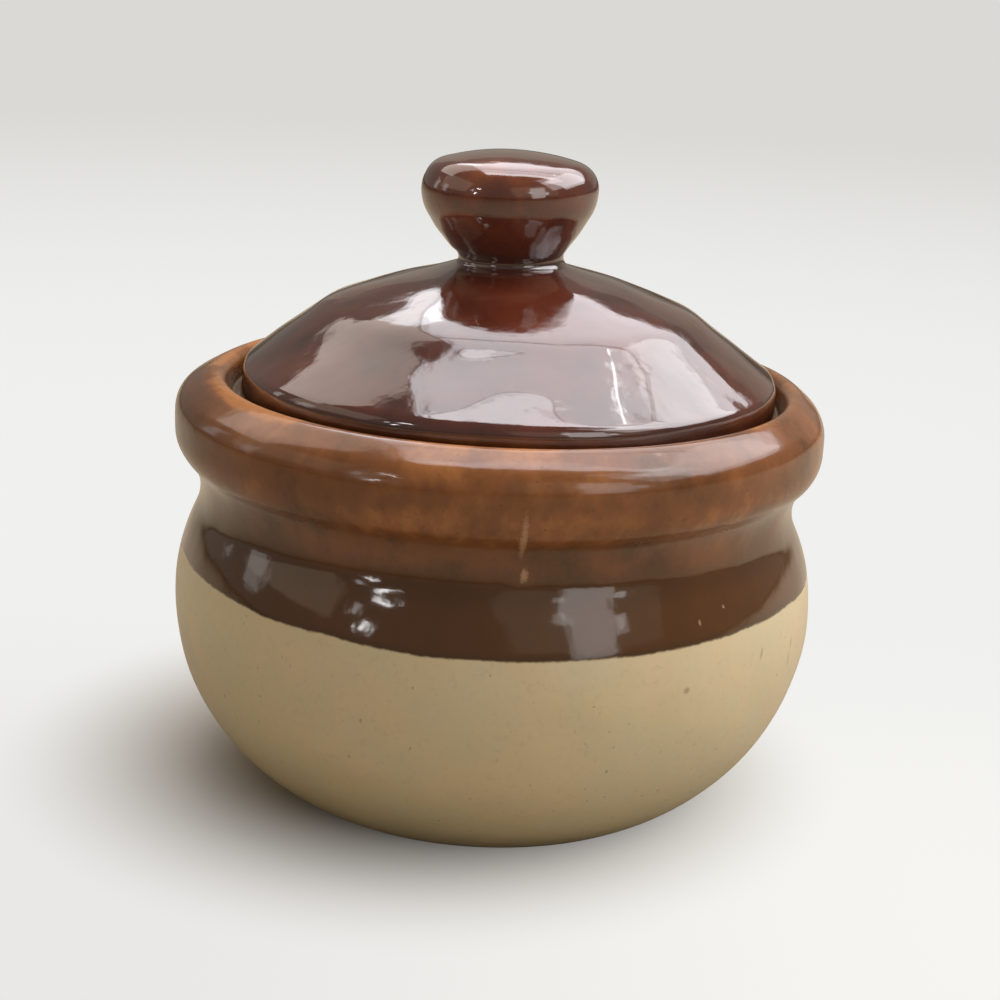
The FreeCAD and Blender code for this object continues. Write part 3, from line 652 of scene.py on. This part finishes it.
on_rim = step_up(tree, z, *RIM_STEP)
rough = blend(tree, brown, flat(BUFF_ROUGH), blend(tree, on_rim, flat(BAND_ROUGH), flat(RIM_ROUGH)))
rough = calc(tree, "MAXIMUM", rough, times(tree, bare, CLAY_ROUGH))
coat = plus(tree, times(tree, brown, BROWN_COAT), BUFF_COAT)
coat = minus(tree, coat, times(tree, on_rim, RIM_COAT_LOSS))
uncoated = calc(tree, "MAXIMUM", bare, times(tree, lip, LIP_COAT_LOSS))
coat = times(tree, coat, minus(tree, 1.0, uncoated))
height = plus(tree, glaze["Height"], times(tree, brown, BROWN_PROUD))
height = minus(tree, height, times(tree, bubbles, BUBBLE_DEPTH))
connect(tree, shader, height, Base_Color=colour, Roughness=rough, Coat_Weight=coat)
print("crock glaze:", len(tree.nodes), "nodes")

# %% [markdown]
# ## The lid: a thicker, redder brown
# The lid was dipped on its own and its glaze lies thicker, so it is darker and redder, and it mirrors the
# room most. Over the last few millimetres to its edge and below it the glaze is made deeper and darker:
# painted shade where the edge sits in the gap under the rim. It is thinnest on the knob. There is no clear
# coat at the edge or under it, so the edge does not light up. It is the shared group again with other
# colours. The outline's bend counts for less here, and only up to a limit, or the edge would turn amber.

# %% Lid glaze
LID_EDGE = lid_low.z + 8 * MM
DOME_THICKNESS, SHADED_EDGE_THICKNESS, KNOB_LOSES, EDGE_PAINTED_SHADE = 0.66, 0.98, 0.22, 0.5
KNOB_STEP, BEND_SHARE, MOST_BEND = (107 * MM, 113 * MM), 0.4, 30.0

lid_glaze, tree, shader, place, bend = new_finish(
    "lid_glaze", IOR=1.6, Specular_IOR_Level=0.75, Coat_Roughness=0.03, Coat_IOR=1.55)
_, _, z = add(tree, "ShaderNodeSeparateXYZ", {0: place}).outputs
# Painted shade: deeper, darker glaze towards and below the edge in the gap under the rim.
thick = step_up(tree, z, LID_EDGE + 7 * MM, LID_EDGE, DOME_THICKNESS, SHADED_EDGE_THICKNESS)
thick = minus(tree, thick, step_up(tree, z, *KNOB_STEP, 0.0, KNOB_LOSES))
thick = plus(tree, thick, step_up(tree, z, LID_EDGE + 2 * MM, LID_EDGE + 0.5 * MM, 0.0, EDGE_PAINTED_SHADE))
bend = calc(tree, "MINIMUM", times(tree, bend, BEND_SHARE), MOST_BEND)
glaze = use(tree, brown_glaze, Place=place, Bend=bend, Thickness=thick, Thin=ink(138, 70, 34),
            Glaze=ink(98, 44, 27), Pooled=ink(56, 24, 17))
rough = step_up(tree, noise(tree, place, 6 * MM), 0.3, 0.7, 0.07, 0.13)
coat = step_up(tree, z, LID_EDGE + 0.2 * MM, LID_EDGE + 1.2 * MM)
connect(tree, shader, glaze["Height"], Base_Color=glaze["Color"], Roughness=rough, Coat_Weight=coat)
print("lid glaze:", len(tree.nodes), "nodes")

# %% [markdown]
# ## From outline to clay
# The outline goes in as loose points that carry their traits. What comes out is copied to a plain mesh, and
# the node tree is left behind.

# %% Turn a piece on the wheel


def turn_piece(name, fine, traits, **sizes):
    """A plain mesh object: the outline turned about the Z axis by the wheel's node tree."""
    mesh = bpy.data.meshes.new(name + "_outline")
    mesh.from_pydata([(r, 0.0, z) for r, z, _ in fine], [], [])
    for title in TRAITS:
        values = fine[:, 2] if title == "bend" else traits.get(title, np.zeros(len(fine)))
        mesh.attributes.new(title, "FLOAT", "POINT").data.foreach_set("value", values.astype(np.float32))
    blank = bpy.data.objects.new(name + "_outline", mesh)
    bpy.context.scene.collection.objects.link(blank)
    modifier = blank.modifiers.new("wheel", "NODES")
    modifier.node_group = wheel
    for title, value in sizes.items():
        modifier[wheel.interface.items_tree[title.replace("_", " ")].identifier] = value
    turned = bpy.data.meshes.new_from_object(blank.evaluated_get(bpy.context.evaluated_depsgraph_get()))
    bpy.data.objects.remove(blank)
    turned.name = name
    piece = bpy.data.objects.new(name, turned)
    bpy.context.scene.collection.objects.link(piece)
    print(name, len(fine), "points in the outline,", len(turned.polygons), "faces")
    return piece


def fade(values, start, end):
    """0 at start, 1 at end, smooth between; start may be the larger."""
    t = np.clip((values - start) / (end - start), 0, 1)
    return t * t * (3 - 2 * t)


def swell(values, centre, reach):
    """1 at the centre, falling away on both sides of it."""
    return np.exp(-((values - centre) / reach)**2)


# %% [markdown]
# ## The crock
# The rolled rim was folded over by hand, so its crest is a little sharper than a true round. The lip and the
# gallery inside it sit a millimetre to the right of the pot's own axis. Waves are on the outside only. One
# run of glaze hangs from the roll near the front. The traits say where each of these applies, so the foot
# and the level seat stay true.

# %% Turn the crock
CREST, CREST_AT, CREST_REACH = 0.50 * MM, 55.3 * MM, 1.9 * MM
EASED, EASED_AT, EASED_REACH = 0.25 * MM, 59.0 * MM, 1.6 * MM
TRUE_WITHIN = 36 * MM

radius, level = crock_line[:, 0], crock_line[:, 1]
outside = np.arange(len(crock_line)) < np.argmax(level)
from_top = crock_high.z - level
level += (from_top < 7 * MM) * (CREST * swell(radius, CREST_AT, CREST_REACH)
                                - EASED * swell(radius, EASED_AT, EASED_REACH))
lip_drift = np.where(outside, fade(radius, crock_high.x, crock_high.x - 7 * MM) * (from_top < 6 * MM),
                     fade(from_top, 22 * MM, 14 * MM))
loose = np.where(outside, fade(level, 1 * MM, 8 * MM) * fade(from_top, 1 * MM, 5 * MM), 0.0)
run = outside * fade(from_top, 6 * MM, 12 * MM) * fade(from_top, 24 * MM, 20 * MM)
crock = turn_piece(
    "stoneware_crock", crock_line,
    {"loose": loose * (radius > TRUE_WITHIN), "drift": lip_drift, "inner": 1.0 - outside, "run": run},
    Wave=0.7 * MM, Wave_size=42 * MM, Ripple=0.22 * MM, Ripple_size=12 * MM, Seed=3.0,
    Drift=1.0 * MM, Run=0.45 * MM, Run_width=1.3 * MM, Run_angle=math.radians(5.0), Glaze=crock_glaze)

# %% [markdown]
# ## The lid
# It sits a third of a millimetre to the right of the gallery's own middle, within the room that the gap
# leaves. Its knob was set on by hand, so it leans back to the left, is fuller than a true round low down,
# and its top tips down to the right. The dome is a little swollen round the knob. The edge that rests on the
# seat takes no waves.

# %% Turn the lid
LID_DRIFT = 1.33 * MM
KNOB_TIP = math.radians(0.9)
KNOB_LEVELS = np.array([-24, -21, -19.6, -18.5, -17, -15, -12, -8, -5, 0]) * MM
KNOB_DRIFT = [1.0, 0.8, 0.45, 0.05, -0.05, -0.15, -0.24, -0.12, 0.1, 0.1]
KNOB_SWELL = np.array([0, 0, 0.44, 0.87, 0.92, 1.05, 0.74, 0.32, 0, 0]) * MM
CROWN_SWELL = 0.45 * MM

below_top = lid_line[:, 1] - lid_high.z
top_side = np.arange(len(lid_line)) > np.argmax(lid_line[:, 0])
crown = top_side * fade(lid_line[:, 0], 12 * MM, 23 * MM) * fade(lid_line[:, 0], 40 * MM, 29 * MM)
lid_line[:, 0] += top_side * np.interp(below_top, KNOB_LEVELS, KNOB_SWELL)
lid_line[:, 1] += crown * CROWN_SWELL
lid = turn_piece(
    "stoneware_lid", lid_line,
    {"loose": fade(lid_line[:, 1], lid_low.z + 7 * MM, lid_low.z + 10 * MM),
     "drift": np.interp(below_top, KNOB_LEVELS, KNOB_DRIFT), "tip": fade(below_top, -14 * MM, -6 * MM)},
    Wave=1.0 * MM, Wave_size=30 * MM, Ripple=0.30 * MM, Ripple_size=12 * MM, Seed=5.0,
    Drift=LID_DRIFT, Tip=-math.tan(KNOB_TIP), Glaze=lid_glaze)

# %% [markdown]
# ## Into the imported model
# The lid only rests on the crock, so both pieces ride on the one body. Each stands for its own CAD node,
# which is then not shown.

# %% Tie the pieces to the imported model
for piece, node, slot in ((crock, "crock", "crock_glaze"), (lid, "lid", "lid_glaze")):
    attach(piece, "root")
    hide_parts(node)
    print(piece.name, "stands for", node)

# %% [markdown]
# ## The floor
# A plain pale floor, far wider than the pot. It is one disc, set a hair below the foot so that the two
# surfaces never fight for the same place.

# %% Floor mesh
FLOOR_RADIUS, FLOOR_GAP = 8.0, 0.02 * MM

floor_mesh = bpy.data.meshes.new("floor")
ground = bmesh.new()
bmesh.ops.create_circle(ground, cap_ends=True, segments=64, radius=FLOOR_RADIUS,
                        matrix=Matrix.Translation((0, 0, crock_low.z - FLOOR_GAP)))
ground.to_mesh(floor_mesh)
ground.free()
floor = bpy.data.objects.new("floor", floor_mesh)
bpy.context.scene.collection.objects.link(floor)
print("floor", 2 * FLOOR_RADIUS, "m across")

# %% [markdown]
# Near the pot it is ordinary matt paint, which takes the soft shadow. Beyond the shadow the camera sees a
# pale glowing tone with painted light in it: lighter on the right, and greyer a long way from the pot. The
# glow fades in around a middle just left of the pot, so the soft edge of the shadow is partly painted. Lamps
# alone could not light so wide a floor evenly. Only the camera sees the tone, so the pot mirrors the paint.

# %% Floor paint
LEFT_TONE, RIGHT_TONE = ink(233, 232, 230), ink(246, 245, 241)
BACK_TONE, FAR_TONE = ink(240, 240, 238), ink(218, 217, 214)
SIDE_STEP, BACK_STEP, FAR_STEP = (-0.06, 0.09), (-0.06, 0.10), (0.25, 1.35)
SHADE_MIDDLE, SHADE_STEP = (-0.014, 0.004, 0), (0.030, 0.088)

floor_paint = bpy.data.materials.new("floor_paint")
floor_paint.use_nodes = True
tree = floor_paint.node_tree
shader = tree.nodes["Principled BSDF"]
shader.inputs["Base Color"].default_value = ink(158, 146, 125)
shader.inputs["Roughness"].default_value = 0.9
place = add(tree, "ShaderNodeTexCoord").outputs["Object"]
beside = add(tree, "ShaderNodeVectorMath", {0: place, 1: SHADE_MIDDLE}, operation="DISTANCE").outputs["Value"]
away = add(tree, "ShaderNodeVectorMath", {0: place}, operation="LENGTH").outputs["Value"]
x, y, _ = add(tree, "ShaderNodeSeparateXYZ", {0: place}).outputs
# Painted light on the floor that the camera sees: lighter to the right, greyer far away.
tone = blend(tree, step_up(tree, x, *SIDE_STEP), LEFT_TONE, RIGHT_TONE)
tone = blend(tree, step_up(tree, y, *BACK_STEP), tone, BACK_TONE)
tone = blend(tree, step_up(tree, away, *FAR_STEP), tone, FAR_TONE)
glow = add(tree, "ShaderNodeEmission", {"Color": tone, "Strength": 1.0}).outputs[0]
seen = add(tree, "ShaderNodeLightPath").outputs["Is Camera Ray"]
# Painted shadow edge: the glow takes over from SHADE_STEP on, around a middle just left of the pot.
far = times(tree, step_up(tree, beside, *SHADE_STEP), seen)
mixed = add(tree, "ShaderNodeMixShader", {0: far, 1: shader.outputs[0], 2: glow}).outputs[0]
tree.links.new(mixed, tree.nodes["Material Output"].inputs["Surface"])
floor_mesh.materials.append(floor_paint)
print("floor paint:", len(tree.nodes), "nodes")

# %% [markdown]
# ## Light
# A glazed pot is seen by what it mirrors, so the lamps are shaped and placed like the bright things in a
# room. Each is placed by its direction from the pot, and given a brightness rather than a power, so making
# it larger does not make it look dimmer.

# %% Lamp helper
POT_MIDDLE = Vector((0, 0, 80)) * MM


def lamp(name, right, up, distance, wide, tall, brightness, tint, roll=0):
    """A lamp that faces the pot from `right` degrees round from the front and `up` degrees above level."""
    data = bpy.data.lights.new(name, "AREA")
    data.shape, data.size, data.size_y = "RECTANGLE", wide, tall
    data.energy = brightness * math.pi * wide * tall
    data.color = tint
    turn, rise = math.radians(right), math.radians(up)
    way = Vector((math.sin(turn) * math.cos(rise), -math.cos(turn) * math.cos(rise), math.sin(rise)))
    piece = bpy.data.objects.new(name, data)
    piece.matrix_world = (Matrix.Translation(POT_MIDDLE + way * distance)
                          @ way.to_track_quat("Z", "Y").to_matrix().to_4x4()
                          @ Matrix.Rotation(math.radians(roll), 4, "Z"))
    bpy.context.scene.collection.objects.link(piece)
    return piece


# %% [markdown]
# The ceiling is level and soft, in panels given by their edges. Its middle starts ten centimetres in front
# of the pot's own middle and reaches a metre behind it, so the lid shines and the front stays in soft shade.
# The middle is in three parts and the front one is brightest. The left panel is warmer and dimmer.

# %% Ceiling
CEILING_HEIGHT = 0.85
COOL, CREAM = (0.96, 0.94, 0.985), (1.0, 0.90, 0.82)
CEILING = (  # name, left, right, front and back edge, brightness, tint
    ("ceiling_left", -1.15, -0.25, 0.18, 1.0, 1.15, CREAM),
    ("ceiling_middle_front", -0.24, 0.55, -0.10, 0.036, 4.2, COOL),
    ("ceiling_middle", -0.24, 0.55, 0.04, 0.27, 2.75, COOL),
    ("ceiling_middle_back", -0.24, 0.55, 0.29, 1.0, 2.4, COOL),
    ("ceiling_right", 0.55, 2.0, -0.35, 1.0, 2.3, COOL))

for name, left, right, front, back, brightness, tint in CEILING:
    panel = lamp(name, 0, 90, 1.0, right - left, back - front, brightness, tint)
    panel.matrix_world = Matrix.Translation(((left + right) / 2, (front + back) / 2, CEILING_HEIGHT))
print(len(CEILING), "ceiling panels")

# %% [markdown]
# Windows stand at the sides and behind, and the glaze mirrors them. The walls and the front of the room are
# large, dim and warm. Small lamps stand for the bright things that leave sparks. One row is one lamp, so
# they can be read and changed side by side.

# %% Windows, walls and sparks
WHITE, WARM, SKY = (1, 1, 1), (1.0, 0.86, 0.66), (0.95, 1.0, 1.08)
LAMPS = (  # name, degrees right of the front, degrees up, distance, wide, tall, brightness, tint, roll
    ("window_right_front", 36, 18, 1.1, 0.34, 0.62, 1.5, WHITE),
    ("window_right_front_left_pane", 26, 21, 1.1, 0.08, 0.12, 1.4, WHITE),
    ("window_right", 92, 42, 1.1, 1.3, 0.6, 1.3, WHITE),
    ("window_right_front_pane", 48, 16, 1.1, 0.09, 0.18, 2.2, WHITE),
    ("wall_left", -80, 24, 1.6, 1.4, 0.8, 0.35, WARM),
    ("wall_back", 165, 14, 1.8, 2.2, 0.7, 0.11, WARM),
    ("window_left", -93, 12, 1.2, 0.16, 0.36, 0.7, WHITE),
    ("window_left_back", -114, 12, 1.2, 0.14, 0.36, 0.7, WHITE),
    ("window_back_left", -163, 41, 1.0, 0.16, 0.20, 1.7, SKY, 15),
    ("spark_left", -39, 25, 1.0, 0.10, 0.03, 14.0, WHITE, -20),
    ("spark_left_bow", -47, 18, 1.0, 0.04, 0.12, 2.5, WHITE),
    ("spark_left_low", -42, 10, 1.0, 0.03, 0.10, 14.0, WHITE, -25),
    ("spark_right_back", 116, 59, 1.0, 0.06, 0.012, 9.0, WHITE),
    ("skylight_right", 70, 52, 1.0, 0.5, 0.34, 1.0, COOL),
    ("room_front", 35, 22, 1.6, 1.8, 0.9, 0.20, WARM))

for settings in LAMPS:
    lamp(*settings)
print(len(LAMPS), "windows, walls and sparks")

# %% [markdown]
# The rest of the room is dim and warm, and fills the shadows. Only the camera sees the pale backdrop, which
# has the far floor's tone so that no horizon shows.

# %% World
ROOM, ROOM_STRENGTH = (1, 0.90, 0.80, 1), 0.19

world = bpy.data.worlds.new("world")
bpy.context.scene.world = world
world.use_nodes = True
tree = world.node_tree
room = tree.nodes["Background"]
room.inputs[0].default_value, room.inputs[1].default_value = ROOM, ROOM_STRENGTH
backdrop = add(tree, "ShaderNodeBackground", {0: FAR_TONE, 1: 1.0}).outputs[0]
seen = add(tree, "ShaderNodeLightPath").outputs["Is Camera Ray"]
mixed = add(tree, "ShaderNodeMixShader", {0: seen, 1: room.outputs[0], 2: backdrop}).outputs[0]
tree.links.new(mixed, tree.nodes["World Output"].inputs["Surface"])

# %% Set the view transform
bpy.context.scene.view_settings.view_transform = "Standard"
